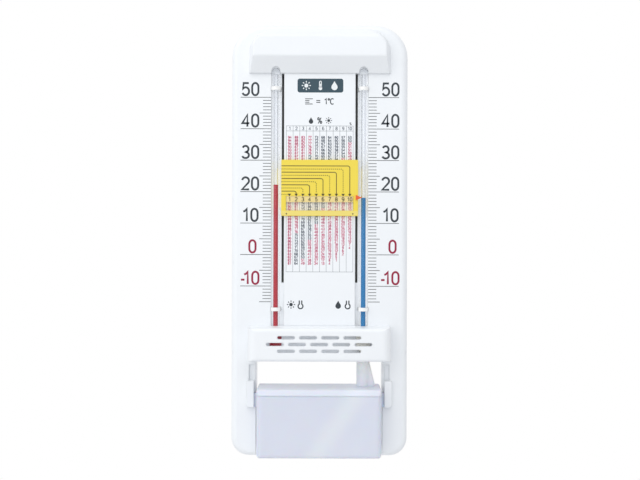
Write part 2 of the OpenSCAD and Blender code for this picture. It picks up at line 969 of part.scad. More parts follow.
// Lid welded on the tank, with its lip inside and the neck for the wick
module tank_lid() {
    lip = tank_t + fit + 1;
    color(milky)
        difference() {
            union() {
                difference() {
                    tank_form();
                    block([-tank_w, tank_w], [0, tank_face + cut], [tank_low - cut, seam]);
                }
                tank_space(tank_t + fit, [seam - 2, seam + 1]);
                translate([tube_x, -tube_depth, tank_top - tank_t])
                    cylinder(h = neck_top - tank_top + tank_t, d = neck_d);
                neck_web();
            }
            difference() {
                tank_space(lip, [seam - 2 - cut, tank_top - tank_t]);
                translate([tube_x, -tube_depth, seam - 2 - cut])
                    cylinder(h = lid_h + 2 + cut, d = neck_d);
            }
            translate([tube_x, -tube_depth, seam - 3])
                cylinder(h = neck_top - seam + 3 + cut, d = neck_bore);
        }
}

// Web that stiffens the neck on its outer side
module neck_web() {
    low_x = min(tube_x + neck_d / 2 + 2.9, tank_w / 2 - 3);
    front_prism([tube_depth - 2.5, tube_depth + 2.5])
        polygon([[tube_x, tank_top - tank_t / 2], [low_x, tank_top - tank_t / 2], [low_x, tank_top + 2],
            [tube_x + neck_d / 2 - 0.2, neck_top - 5], [tube_x, neck_top - 5]]);
}

base_shell();
rear_cover();
cover_screws();
hanger_plate();
hanger_screws();
dry_bulb_glass();
dry_bulb_spirit();
wet_bulb_glass();
wet_bulb_spirit();
dry_upper_clip();
dry_lower_clip();
wet_upper_clip();
wet_lower_clip();
slider_plate();
slider_window();
slider_pointer();
slider_keeper();
bulb_guard();
wick_sleeve();
wick_thread();
wick_tail();
tank_body();
tank_lid();
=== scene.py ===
"""Looks of a wet and dry bulb hygrometer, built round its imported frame.

Lengths named here are in millimetres unless they come from the frame, which is in metres.
X runs to the right, Y into the wall and Z up, and a depth is measured from the wall towards the viewer.
"""

import math

import bpy
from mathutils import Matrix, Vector


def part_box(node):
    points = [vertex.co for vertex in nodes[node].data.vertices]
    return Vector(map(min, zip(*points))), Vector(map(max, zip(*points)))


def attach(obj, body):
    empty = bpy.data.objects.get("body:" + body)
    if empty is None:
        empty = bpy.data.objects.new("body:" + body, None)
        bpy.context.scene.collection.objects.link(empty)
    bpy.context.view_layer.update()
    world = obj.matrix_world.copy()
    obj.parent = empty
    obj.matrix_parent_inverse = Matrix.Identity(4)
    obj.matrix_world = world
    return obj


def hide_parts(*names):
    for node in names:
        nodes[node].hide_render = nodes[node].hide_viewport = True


MM = 0.001

# Depth of the scales' face and of the panel, and the outer side of the tube channels
FACE = 12.0
PANEL = 12.8
CHANNEL_OUT = 29.6
# Radius of the glass tube's bore, and the wall of its bulb
BORE_R = 0.95
GLASS_T = 0.5
# How far the slider's window lies below its face
WINDOW_SINK = 0.1

# Readings of the two columns in degrees Celsius
DRY = 22.2
WET = 18.1

# Thickness of printed ink
INK_T = 0.02

# Air pressure and the constant of a still wet bulb, for the humidity table
PRESSURE_HPA = 1013.25
WET_BULB_CONSTANT = 0.0008

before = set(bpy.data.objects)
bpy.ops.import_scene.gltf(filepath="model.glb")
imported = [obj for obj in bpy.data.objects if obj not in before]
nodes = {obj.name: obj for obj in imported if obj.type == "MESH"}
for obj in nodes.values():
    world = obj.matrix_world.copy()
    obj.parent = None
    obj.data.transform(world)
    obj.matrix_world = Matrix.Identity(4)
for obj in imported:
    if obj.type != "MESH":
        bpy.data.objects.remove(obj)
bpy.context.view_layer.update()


def box_mm(node):
    """Lowest and highest corner of a node, in millimetres."""
    low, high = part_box(node)
    return low / MM, high / MM


slider_low, slider_high = box_mm("slider_plate")
window_low, window_high = box_mm("slider_window")
pointer_low, pointer_high = box_mm("slider_pointer")
glass_low, glass_high = box_mm("wet_bulb_glass")
tail_low, tail_high = box_mm("wick_tail")
sleeve_low, sleeve_high = box_mm("wick_sleeve")
thread_low, thread_high = box_mm("wick_thread")
lid_high = box_mm("tank_lid")[1]

DRY_TOP = box_mm("dry_bulb_spirit")[1].z
WET_TOP = box_mm("wet_bulb_spirit")[1].z
DEGREE = (DRY_TOP - WET_TOP) / (DRY - WET)
ZERO_Z = WET_TOP - WET * DEGREE
TUBE_X = (glass_low.x + glass_high.x) / 2
TUBE_DEPTH = -(glass_low.y + glass_high.y) / 2
BULB_R = (glass_high.x - glass_low.x) / 2
POINTER_Z = (pointer_low.z + pointer_high.z) / 2
SLIDER_FACE = -window_low.y + WINDOW_SINK
TAIL_R = (tail_high.x - tail_low.x) / 2


def scale_z(t):
    """Height of a temperature on the scales."""
    return ZERO_Z + DEGREE * t


# Materials


def srgb(r, g, b):
    """Linear colour from display values between 0 and 255."""
    def channel(v):
        v /= 255
        return v / 12.92 if v <= 0.04045 else ((v + 0.055) / 1.055) ** 2.4
    return (channel(r), channel(g), channel(b), 1.0)


def shade(colour, factor):
    """A linear colour made lighter or darker."""
    return tuple(min(1.0, c * factor) for c in colour[:3]) + (1.0,)


def combine(tree, operation, first, second):
    """A math node on two outputs, or on an output and a number."""
    made = tree.nodes.new("ShaderNodeMath")
    made.operation = operation
    tree.links.new(first, made.inputs[0])
    if isinstance(second, float):
        made.inputs[1].default_value = second
    else:
        tree.links.new(second, made.inputs[1])
    return made.outputs["Value"]


# Samples that soften an edge
BEVEL_SAMPLES = 6


class Finish:
    """A node-based material round one principled shader."""

    def __init__(self, name, colour, roughness, **sockets):
        self.material = bpy.data.materials.new(name)
        self.material.use_nodes = True
        self.tree = self.material.node_tree
        self.shader = self.tree.nodes["Principled BSDF"]
        self.shader.inputs["Base Color"].default_value = colour
        self.shader.inputs["Roughness"].default_value = roughness
        for socket, value in sockets.items():
            self.shader.inputs[socket.replace("_", " ")].default_value = value
        self.place = self.tree.nodes.new("ShaderNodeTexCoord").outputs["Object"]
        self.colour = colour
        self.roughness = roughness
        self.normal = None

    def node(self, kind, **values):
        """A node of a kind, with values for its inputs."""
        made = self.tree.nodes.new(kind)
        for key, value in values.items():
            made.inputs[key].default_value = value
        return made

    def noise(self, scale, detail=3.0, stretch=(1, 1, 1)):
        """Noise with features of about 1 / scale metres, stretched along an axis."""
        mapping = self.node("ShaderNodeMapping", Scale=stretch)
        self.tree.links.new(self.place, mapping.inputs["Vector"])
        noise = self.node("ShaderNodeTexNoise", Scale=scale, Detail=detail)
        self.tree.links.new(mapping.outputs["Vector"], noise.inputs["Vector"])
        return noise.outputs["Fac"]

    def ramp(self, source, low, high):
        """Maps a factor onto a narrow range of values."""
        made = self.node("ShaderNodeMapRange")
        made.inputs["To Min"].default_value = low
        made.inputs["To Max"].default_value = high
        self.tree.links.new(source, made.inputs["Value"])
        return made.outputs["Result"]

    def vary_colour(self, source, spread):
        """Mottles the base colour by a small share."""
        mix = self.tree.nodes.new("ShaderNodeMix")
        mix.data_type = "RGBA"
        mix.inputs["A"].default_value = shade(self.colour, 1 - spread)
        mix.inputs["B"].default_value = shade(self.colour, 1 + spread)
        self.tree.links.new(source, mix.inputs["Factor"])
        self.tree.links.new(mix.outputs["Result"], self.shader.inputs["Base Color"])
        return self

    def band(self, across, offset, half, factor):
        """Lightens a soft band whose middle lies at an offset in millimetres along a direction."""
        place = self.node("ShaderNodeVectorMath")
        place.operation = "DOT_PRODUCT"
        place.inputs[1].default_value = across
        self.tree.links.new(self.place, place.inputs[0])
        away = combine(self.tree, "SUBTRACT", place.outputs["Value"], offset * MM)
        away = combine(self.tree, "ABSOLUTE", away, 0.0)
        share = self.node("ShaderNodeMapRange")
        share.interpolation_type = "SMOOTHSTEP"
        share.inputs["From Max"].default_value = half * MM
        share.inputs["To Min"].default_value = 1.0
        share.inputs["To Max"].default_value = 0.0
        self.tree.links.new(away, share.inputs["Value"])
        mix = self.tree.nodes.new("ShaderNodeMix")
        mix.data_type = "RGBA"
        self.tree.links.new(share.outputs["Result"], mix.inputs["Factor"])
        self.tree.links.new(self.shader.inputs["Base Color"].links[0].from_socket, mix.inputs["A"])
        mix.inputs["B"].default_value = shade(self.colour, factor)
        self.tree.links.new(mix.outputs["Result"], self.shader.inputs["Base Color"])
        return self

    def vary_roughness(self, source, spread):
        """Lets the roughness wander by a small amount."""
        value = self.ramp(source, self.roughness - spread, self.roughness + spread)
        self.tree.links.new(value, self.shader.inputs["Roughness"])
        return self

    def round_edges(self, radius):
        """Rounds the look of sharp edges by a radius in millimetres."""
        bevel = self.node("ShaderNodeBevel", Radius=radius * MM)
        bevel.samples = BEVEL_SAMPLES
        self.normal = bevel.outputs["Normal"]
        self.tree.links.new(self.normal, self.shader.inputs["Normal"])
        return self

    def bump(self, source, height):
        """Bumps the surface by a height in millimetres."""
        bump = self.node("ShaderNodeBump", Distance=height * MM, Strength=1.0)
        self.tree.links.new(source, bump.inputs["Height"])
        if self.normal:
            self.tree.links.new(self.normal, bump.inputs["Normal"])
        self.normal = bump.outputs["Normal"]
        self.tree.links.new(self.normal, self.shader.inputs["Normal"])
        return self


def moulded(name, colour, roughness, edge=0.35, grain=0.004, **sockets):
    """Moulded plastic with a fine grain and softened edges."""
    made = Finish(name, colour, roughness, **sockets)
    made.vary_colour(made.noise(scale=60.0), spread=0.012)
    made.vary_roughness(made.noise(scale=900.0), spread=0.05)
    made.round_edges(edge)
    made.bump(made.noise(scale=2600.0, detail=2.0), grain)
    return made.material


def ink(name, colour, roughness=0.5):
    """Screen-printed ink with a slightly uneven cover."""
    made = Finish(name, colour, roughness)
    made.vary_colour(made.noise(scale=1500.0), spread=0.05)
    made.bump(made.noise(scale=4000.0), height=0.002)
    return made.material


def brushed(name, colour):
    """Zinc-plated steel with fine lines along X."""
    made = Finish(name, colour, roughness=0.34, Metallic=1.0)
    lines = made.noise(scale=700.0, detail=4.0, stretch=(0.05, 1, 1))
    made.vary_colour(made.noise(scale=120.0), spread=0.08)
    made.vary_roughness(lines, spread=0.1)
    made.round_edges(radius=0.15)
    made.bump(lines, height=0.004)
    return made.material


def knitted(name, colour):
    """Cotton knit, with sheen and fine fibres."""
    made = Finish(name, colour, roughness=0.9, Sheen_Weight=0.4)
    made.vary_colour(made.noise(scale=1400.0), spread=0.06)
    made.bump(made.noise(scale=5200.0, detail=5.0), height=0.03)
    return made.material


def dyed_spirit(name, colour):
    """Dyed spirit that wets its glass."""
    made = Finish(name, colour, roughness=0.3, Specular_IOR_Level=0.05)
    made.vary_colour(made.noise(scale=300.0), spread=0.04)
    return made.material


def clear(name, colour, ior, roughness):
    """Glass or acrylic with a slightly uneven polish."""
    made = Finish(name, colour, roughness, Transmission_Weight=1.0, IOR=ior)
    made.vary_roughness(made.noise(scale=220.0, stretch=(1, 1, 0.05)), spread=0.01)
    return made.material


# Lighter diagonal band in the colour, running down to the left from the neck of the tank
LIGHTER_BAND_ACROSS = (0.832, 0.0, -0.555)
LIGHTER_BAND_OFFSET = 135.6
LIGHTER_BAND_HALF = 10.0
LIGHTER_BAND_LIFT = 1.07
# Painted light on the thin neck, for light that shines through it: a lighter band whose middle lies a
# little below its upper end
UPWARDS = (0.0, 0.0, 1.0)
NECK_PAINTED_LIGHT_DROP = 4.0
NECK_PAINTED_LIGHT_HALF = 22.0
NECK_PAINTED_LIGHT_LIFT = 1.35


def milky(name, colour, share, edge):
    """Translucent natural plastic, as a water tank has, that lets a share of the light through."""
    made = Finish(name, colour, roughness=0.34, Transmission_Weight=share, IOR=1.35,
                  Subsurface_Weight=0.2, Subsurface_Scale=0.002)
    made.vary_colour(made.noise(scale=28.0, detail=2.0, stretch=(1, 1, 1.6)), spread=0.03)
    # A lighter diagonal band in the colour, down to the left from the neck
    made.band(LIGHTER_BAND_ACROSS, LIGHTER_BAND_OFFSET, LIGHTER_BAND_HALF, LIGHTER_BAND_LIFT)
    made.vary_roughness(made.noise(scale=500.0), spread=0.06)
    made.round_edges(edge)
    made.bump(made.noise(scale=1800.0), height=0.006)
    return made


WHITE = moulded("white_plastic", srgb(243, 246, 249), roughness=0.34, edge=0.8, Coat_Weight=0.15)
CLIP_WHITE = moulded("white_clip", srgb(250, 250, 249), roughness=0.25, edge=0.12, grain=0.002)
YELLOW = moulded("yellow_plastic", srgb(242, 218, 74), roughness=0.38, edge=0.2)
ORANGE = moulded("orange_plastic", srgb(233, 92, 40), roughness=0.35, edge=0.15)
KEEPER = moulded("keeper_plastic", srgb(222, 222, 216), roughness=0.45, edge=0.2)
# The rear cover is a real part, but its grey is painted shade: it is set dark so that the slots in front
# of it look as shaded as they do
GREY_SLOT_SHADE = moulded("grey_plastic", srgb(146, 150, 147), roughness=0.5)
STEEL = brushed("steel", srgb(190, 192, 196))
GLASS = clear("tube_glass", srgb(250, 251, 253), ior=1.47, roughness=0.06)
WINDOW = clear("clear_plastic", srgb(253, 246, 232), ior=1.4, roughness=0.02)
RED = dyed_spirit("red_spirit", srgb(180, 52, 64))
BLUE = dyed_spirit("blue_spirit", srgb(40, 121, 178))
GAUZE = knitted("gauze", srgb(236, 233, 222))
THREAD = knitted("thread", srgb(240, 238, 230))
MILKY = milky("milky_plastic", srgb(234, 238, 254), share=0.15, edge=1.2).material
# The lid's finish carries painted light on its neck
MILKY_LID = milky("milky_lid", srgb(226, 230, 243), share=0.02, edge=1.6).band(
    UPWARDS, lid_high.z - NECK_PAINTED_LIGHT_DROP, NECK_PAINTED_LIGHT_HALF, NECK_PAINTED_LIGHT_LIFT).material
SLATE_INK = ink("slate_ink", srgb(38, 48, 56))
TICK_INK = ink("tick_ink", srgb(70, 74, 78))
RED_INK = ink("crimson_ink", srgb(148, 8, 56))
TABLE_INK = ink("table_ink", srgb(60, 74, 92))
TABLE_RED_INK = ink("table_red_ink", srgb(196, 66, 110))
RULE_INK = ink("rule_ink", srgb(130, 136, 142))
LABEL_INK = ink("label_ink", srgb(36, 66, 80), roughness=0.4)
PALE_INK = ink("pale_ink", srgb(240, 244, 246), roughness=0.4)
BAND_INK = ink("band_ink", srgb(238, 216, 146), roughness=0.4)
FOOT_INK = ink("foot_ink", srgb(240, 220, 118), roughness=0.4)
BROWN_INK = ink("brown_ink", srgb(58, 46, 26))

NODE_FINISH = {
    WHITE: ["base_shell", "bulb_guard"],
    CLIP_WHITE: ["dry_upper_clip", "dry_lower_clip", "wet_upper_clip", "wet_lower_clip"],
    YELLOW: ["slider_plate"],
    ORANGE: ["slider_pointer"],
    KEEPER: ["slider_keeper"],
    GREY_SLOT_SHADE: ["rear_cover"],
    STEEL: ["hanger_plate", "hanger_screws", "cover_screws"],
    GLASS: ["dry_bulb_glass", "wet_bulb_glass"],
    WINDOW: ["slider_window"],
    MILKY: ["tank_body"],
    MILKY_LID: ["tank_lid"],
}


def dress_nodes():
    """Gives each shown node its finish, and keeps the clear ones from shading what they cover."""
    for material, names in NODE_FINISH.items():
        opaque = material not in (GLASS, WINDOW)
        for name in names:
            nodes[name].material_slots[0].material = material
            nodes[name].visible_shadow = opaque
            nodes[name].visible_diffuse = opaque


# Meshes


def add_mesh(name, verts, faces, material, body, smooth=False):
    """Adds a piece from points in millimetres, riding on a body."""
    mesh = bpy.data.meshes.new(name)
    mesh.from_pydata([Vector(v) * MM for v in verts], [], faces)
    mesh.validate()
    if smooth:
        mesh.shade_smooth()
    mesh.materials.append(material)
    obj = bpy.data.objects.new(name, mesh)
    bpy.context.scene.collection.objects.link(obj)
    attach(obj, body)
    return obj


def grid_faces(rows, columns):
    """Faces of a grid of points whose rows close into rings."""
    faces = []
    for i in range(rows - 1):
        for j in range(columns):
            k = (j + 1) % columns
            faces.append((i * columns + j, i * columns + k, (i + 1) * columns + k, (i + 1) * columns + j))
    return faces


def lathe(name, profile, columns, x, material, relief=None):
    """Turns a profile of (radius, height) round the axis of the tube at x, with an optional relief."""
    verts = []
    for i, (r, z) in enumerate(profile):
        for j in range(columns):
            turn = 2 * math.pi * j / columns
            radius = r + (relief(turn, z) if relief else 0.0)
            verts.append((x + radius * math.cos(turn), -TUBE_DEPTH + radius * math.sin(turn), z))
    faces = grid_faces(len(profile), columns)
    first = tuple(reversed(range(columns)))
    last = tuple(range((len(profile) - 1) * columns, len(profile) * columns))
    return add_mesh(name, verts, [first] + faces + [last], material, "body", smooth=True)


# Strokes and prints


# Steps to a quarter turn, from the smallest curves to the largest
TINY_STEPS, SMALL_STEPS, MIDDLE_STEPS, LARGE_STEPS, NUMBER_STEPS = 2, 3, 4, 5, 7


def arc(cx, cz, rx, rz, start, end, steps):
    """Points on an ellipse between two angles in degrees, with steps to a quarter turn."""
    count = max(2, round(abs(end - start) / 90 * steps))
    angles = [math.radians(start + (end - start) * i / count) for i in range(count + 1)]
    return [(cx + rx * math.cos(a), cz + rz * math.sin(a)) for a in angles]


GLYPH_W = 0.6


def glyph(character, n):
    """Strokes of a character in a box GLYPH_W wide and 1 high, each as points and whether it closes."""
    if character == "0":
        return [(arc(.30, .66, .23, .29, 0, 180, n) + arc(.30, .34, .23, .29, 180, 360, n), True)]
    if character == "1":
        return [([(.10, .74), (.24, .80), (.36, .95), (.36, .05)], False)]
    if character == "2":
        return [(arc(.30, .70, .25, .25, 170, -38, n) + [(.05, .06), (.56, .06)], False)]
    if character == "3":
        return [(arc(.29, .72, .22, .23, 155, -90, n) + arc(.29, .27, .25, .22, 90, -160, n)[1:], False)]
    if character == "4":
        return [([(.57, .30), (.04, .30), (.42, .93), (.42, .05)], False)]
    if character == "5":
        return [([(.52, .94), (.14, .94), (.08, .50)] + arc(.29, .34, .25, .29, 132, -155, n), False)]
    if character == "6":
        return [(arc(.31, .63, .25, .32, 48, 180, n) + arc(.31, .33, .25, .28, 180, 540, n), False)]
    if character == "7":
        return [([(.05, .94), (.55, .94), (.36, .56), (.24, .05)], False)]
    if character == "8":
        return [(arc(.30, .72, .21, .23, 0, 360, n)[:-1], True),
                (arc(.30, .27, .25, .22, 0, 360, n)[:-1], True)]
    if character == "9":
        return [([(GLYPH_W - x, 1 - z) for x, z in points], closed) for points, closed in glyph("6", n)]
    if character == "-":
        return [([(.02, .36), (.28, .36)], False)]
    if character == "°":
        return [(arc(.16, .82, .12, .12, 0, 360, n)[:-1], True)]
    if character == "C":
        return [(arc(.34, .50, .29, .45, 48, 312, n), False)]
    if character == "%":
        return [(arc(.14, .76, .11, .18, 0, 360, n)[:-1], True),
                (arc(.52, .24, .11, .18, 0, 360, n)[:-1], True),
                ([(.54, .95), (.12, .05)], False)]
    raise ValueError("no strokes for " + character)


# How far the pen moves on after a character, as a share of its height
ADVANCE = {"-": 0.16, "1": 0.62, "°": 0.36, "C": 0.74, "%": 0.80}
DIGIT_ADVANCE = 0.70

# Shortest cosine that a mitre is stretched by, and the length below which two directions cancel
MITRE_LEAST = 0.55
CANCELLED = 1e-6

# Signs, as shares of their height: radius of the drop, of the bulb's outline and of the sun's disc,
# reach of the sun's rays, and the small thermometer's stem and bulb
DROP_R = 0.34
BULB_OUTLINE_R = 0.3
SUN_R = 0.22
RAY_FROM, RAY_TO = 0.33, 0.5
STEM_R = 0.10
STEM_FROM, STEM_TO, STEM_FILL = 0.3, 0.88, 0.7
STEM_BULB_R = 0.2
# Points of a drop's side above its round foot, as shares of its radius and of its height
DROP_SIDE = ((0.0, 1.0), (0.42, 0.74), (0.86, 0.52))
# Number of rays, their usual width, and half the width of an arrow's cut tip
RAYS = 8
RAY_W = 0.6
ARROW_TIP = 0.05


class Print:
    """Ink laid on an upright face at a depth, as thin closed strips."""

    def __init__(self, depth):
        self.depth = depth
        self.verts = []
        self.faces = []

    def prism(self, left, right, closed):
        """A strip between two rows of points, from the face to the ink's own front."""
        count = len(left)
        base = len(self.verts)
        for points, depth in ((left, INK_T), (right, INK_T), (left, 0.0), (right, 0.0)):
            self.verts += [(x, -(self.depth + depth), z) for x, z in points]
        a, b, c, d = (base + k * count for k in range(4))
        for i in range(count if closed else count - 1):
            j = (i + 1) % count
            self.faces.append((a + i, b + i, b + j, a + j))
            self.faces.append((d + i, c + i, c + j, d + j))
            self.faces.append((c + i, a + i, a + j, c + j))
            self.faces.append((b + i, d + i, d + j, b + j))
        if not closed:
            last = count - 1
            self.faces.append((c, d, b, a))
            self.faces.append((a + last, b + last, d + last, c + last))

    def stroke(self, points, width, closed=False):
        """A line of even width through points, with mitred corners."""
        count = len(points)
        left, right = [], []
        for i, (x, z) in enumerate(points):
            before = points[i - 1] if closed or i > 0 else None
            after = points[(i + 1) % count] if closed or i < count - 1 else None
            into = Vector((x - before[0], z - before[1])).normalized() if before else None
            out = Vector((after[0] - x, after[1] - z)).normalized() if after else None
            into = into or out
            out = out or into
            mean = into + out
            mean = mean.normalized() if mean.length > CANCELLED else into
            across = Vector((-mean.y, mean.x))
            reach = width / 2 / max(MITRE_LEAST, across.dot(Vector((-into.y, into.x))))
            left.append((x + across.x * reach, z + across.y * reach))
            right.append((x - across.x * reach, z - across.y * reach))
        self.prism(left, right, closed)

    def line(self, x0, z0, x1, z1, width):
        """A straight line."""
        self.stroke([(x0, z0), (x1, z1)], width)

    def patch(self, x0, x1, z0, z1):
        """A filled rectangle."""
        self.prism([(x0, z1), (x1, z1)], [(x0, z0), (x1, z0)], False)

    def disc(self, x, z, r):
        """A filled disc, as strips from left to right."""
        upper = arc(x, z, r, r, 180, 0, MIDDLE_STEPS)
        self.prism(upper, [(px, 2 * z - pz) for px, pz in upper], False)

    def text(self, words, x, z, height, width, steps):
        """Characters of a height and stroke width, with their middle at x and their foot at z."""
        total = sum(ADVANCE.get(c, DIGIT_ADVANCE) for c in words) - (DIGIT_ADVANCE - GLYPH_W)
        pen = x - total * height / 2
        for character in words:
            for points, closed in glyph(character, steps):
                self.stroke([(pen + px * height, z + pz * height) for px, pz in points], width, closed)
            pen += ADVANCE.get(character, DIGIT_ADVANCE) * height

    def drop(self, x, z, height):
        """A filled water drop with its point up."""
        r = height * DROP_R
        side = [(x - r * out, z + height * up) for out, up in DROP_SIDE]
        side += arc(x, z + r, r, r, 180, 270, LARGE_STEPS)
        self.prism([(2 * x - px, pz) for px, pz in side], side, False)

    def bulb(self, x, z, height, width):
        """A thermometer's bulb in outline, with its stem above."""
        r = height * BULB_OUTLINE_R
        outline = arc(x, z + r, r, r, 120, 420, MIDDLE_STEPS)
        self.stroke([(x - r * 0.5, z + height)] + outline + [(x + r * 0.5, z + height)], width)

    def sun(self, x, z, height, width=RAY_W):
        """A small disc with rays."""
        self.disc(x, z + height / 2, height * SUN_R)
        inner, outer = height * RAY_FROM, height * RAY_TO
        for i in range(RAYS):
            turn = math.radians(360 / RAYS * i)
            self.line(x + inner * math.cos(turn), z + height / 2 + inner * math.sin(turn),
                      x + outer * math.cos(turn), z + height / 2 + outer * math.sin(turn), width)

    def thermometer(self, x, z, height, width):
        """A small thermometer in outline, with a filled bulb."""
        r, low = height * STEM_R, z + height * STEM_FROM
        self.disc(x, z + height * STEM_BULB_R, height * STEM_BULB_R)
        crown = arc(x, z + height * STEM_TO, r, r, 180, 0, SMALL_STEPS)
        self.stroke([(x - r, low)] + crown + [(x + r, low)], width)
        self.line(x, low, x, z + height * STEM_FILL, width)

    def arrow(self, x, z, half, height):
        """A filled triangle that points down from z."""
        tip = [(x - ARROW_TIP, z - height), (x + ARROW_TIP, z - height)]
        self.prism([(x - half, z), (x + half, z)], tip, False)

    def build(self, name, material, body):
        """The piece, once all its ink is laid."""
        return add_mesh(name, self.verts, self.faces, material, body)


# Scales, numbers and table

# Where the ticks begin, and where the short, the middle and the long ones end
TICK_GAP = 0.2
TICK_IN = CHANNEL_OUT + TICK_GAP
TICK_MINOR = 34.8
TICK_FIVE = 36.9
TICK_TEN = 48.5
TICK_W = 0.38
NUMBER_H = 8.3
NUMBER_STROKE = 1.22
NUMBER_LIFT = 0.85
LOWEST, HIGHEST = -15, 50
LOWEST_NUMBER = -10
# Middle of the numbers on each side, and how far the zeros stand to the right of it
NUMBER_X = {-1: 42.45, 1: 43.3}
ZERO_SHIFT = 1.4


def build_scales():
    """A tick at each degree and the numbers of the tens, on both sides."""
    ticks = Print(FACE)
    dark = Print(FACE)
    cold = Print(FACE)
    for t in range(LOWEST, HIGHEST + 1):
        reach = TICK_TEN if t % 10 == 0 else TICK_FIVE if t % 5 == 0 else TICK_MINOR
        for side in (-1, 1):
            ticks.line(side * TICK_IN, scale_z(t), side * reach, scale_z(t), TICK_W)
    for t in range(LOWEST_NUMBER, HIGHEST + 1, 10):
        for side in (-1, 1):
            where = cold if t <= 0 else dark
            x = side * NUMBER_X[side] + (ZERO_SHIFT if t == 0 else 0.0)
            where.text(str(t), x, scale_z(t) + NUMBER_LIFT, NUMBER_H, NUMBER_STROKE, NUMBER_STEPS)
    ticks.build("scale_ticks", TICK_INK, "body")
    dark.build("scale_numbers", SLATE_INK, "body")
    cold.build("scale_numbers_cold", RED_INK, "body")


COLUMNS = 10
COLUMN_W = 4.08
TABLE_HALF = COLUMN_W * COLUMNS / 2
TABLE_TOP = -49.3
HEADER_LOW = -52.4
TABLE_LOW = -138.5
RULE_W = 0.22
COLUMN_RULE_W = 0.2
HEADER_LIFT = 0.5
HEADER_DIGIT_H = 2.1
HEADER_STROKE = 0.32
# Hottest wet reading, and how far a row lies below its reading on the scale
HOTTEST_WET = 40
ROW_DROP = 5.3
TABLE_DIGIT_H = 1.6
TABLE_STROKE = 0.36
# Humidities in percent between which the numbers are dark
DRY_EDGE, DAMP_EDGE = 53, 75
# Saturation pressure of water: its value at 0 degrees in hPa, its factor and its offset in degrees
SATURATION_HPA = 6.112
SATURATION_FACTOR = 17.62
SATURATION_OFFSET = 243.12


def column_x(k):
    """Middle of the table's column for a difference of k degrees."""
    return (k - (COLUMNS + 1) / 2) * COLUMN_W


def vapour_pressure(t):
    """Saturation pressure of water in hPa."""
    return SATURATION_HPA * math.exp(SATURATION_FACTOR * t / (SATURATION_OFFSET + t))


def humidity(wet, difference):
    """Relative humidity in percent from the wet reading and the difference of the two."""
    held = vapour_pressure(wet) - WET_BULB_CONSTANT * PRESSURE_HPA * difference
    return round(100 * held / vapour_pressure(wet + difference))


def build_table():
    """Humidity table: a headed grid with a number for each degree and difference."""
    rules = Print(PANEL)
    dark = Print(PANEL)
    outer = Print(PANEL)
    for z in (TABLE_TOP, HEADER_LOW, TABLE_LOW):
        rules.line(-TABLE_HALF, z, TABLE_HALF, z, RULE_W)
    for k in range(COLUMNS + 1):
        x = k * COLUMN_W - TABLE_HALF
        rules.line(x, TABLE_TOP, x, TABLE_LOW, COLUMN_RULE_W)
    for k in range(1, COLUMNS + 1):
        dark.text(str(k), column_x(k), HEADER_LOW + HEADER_LIFT, HEADER_DIGIT_H, HEADER_STROKE,
                  SMALL_STEPS)
        for wet in range(HOTTEST_WET + 1):
            percent = humidity(wet, k)
            if percent > 0:
                where = dark if DRY_EDGE <= percent <= DAMP_EDGE else outer
                z = scale_z(wet) - ROW_DROP - TABLE_DIGIT_H / 2
                where.text(str(percent), column_x(k), z, TABLE_DIGIT_H, TABLE_STROKE, TINY_STEPS)
    rules.build("table_rules", RULE_INK, "body")
    dark.build("table_numbers", TABLE_INK, "body")
    outer.build("table_numbers_outer", TABLE_RED_INK, "body")


# The slate label and its three signs
LABEL_X = 0.3
LABEL_HALF = 14.0
LABEL_LOW, LABEL_HIGH = -28.9, -20.4
LABEL_R = 1.4
ICON_PITCH = 8.6
ICON_H = 5.6
ICON_RAY_W = 0.55
ICON_LINE_W = 0.5
# The note on the scale: lines of two lengths, an equals sign and a degree
NOTE_Z = -36.2
NOTE_H = 3.8
NOTE_STROKE = 0.62
NOTE_LINES = 4
NOTE_LEFT, NOTE_SHORT, NOTE_LONG = -9.0, -6.4, -4.4
NOTE_LINE_LIFT = 0.3
NOTE_LINE_PITCH = 1.05
NOTE_LINE_W = 0.46
EQUALS_LEFT, EQUALS_RIGHT = -2.2, 0.2
EQUALS_LIFTS = (1.3, 2.4)
EQUALS_W = 0.5
NOTE_DEGREE_X = 5.6
# The three signs over the table, and the small percent sign at its corner
TITLE_Z = -48.0
TITLE_H = 4.0
TITLE_PITCH = 5.4
TITLE_STROKE = 0.58
TITLE_RAY_W = 0.5
CORNER_INSET = 1.6
CORNER_LIFT = 0.5
CORNER_H = 1.7
CORNER_STROKE = 0.22
# The pair of signs over each bulb
BULB_SIGN_Z = -161.0
BULB_SIGN_H = 5.0
BULB_SIGN_X = 14.4
BULB_SIGN_SPREAD = 2.9
BULB_SIGN_W = 0.75


def build_label():
    """The slate label with its signs."""
    label = Print(PANEL)
    corner_z = LABEL_HIGH - LABEL_R
    inner = LABEL_HALF - LABEL_R
    upper = (arc(LABEL_X - inner, corner_z, LABEL_R, LABEL_R, 180, 90, LARGE_STEPS)
             + arc(LABEL_X + inner, corner_z, LABEL_R, LABEL_R, 90, 0, LARGE_STEPS))
    lower = [(x, LABEL_LOW + LABEL_HIGH - z) for x, z in upper]
    label.prism(upper, lower, False)
    label.build("title_label", LABEL_INK, "body")

    signs = Print(PANEL + INK_T)
    foot = (LABEL_LOW + LABEL_HIGH - ICON_H) / 2
    signs.sun(LABEL_X - ICON_PITCH, foot, ICON_H, ICON_RAY_W)
    signs.thermometer(LABEL_X, foot, ICON_H, ICON_LINE_W)
    signs.drop(LABEL_X + ICON_PITCH, foot, ICON_H)
    signs.build("title_signs", PALE_INK, "body")


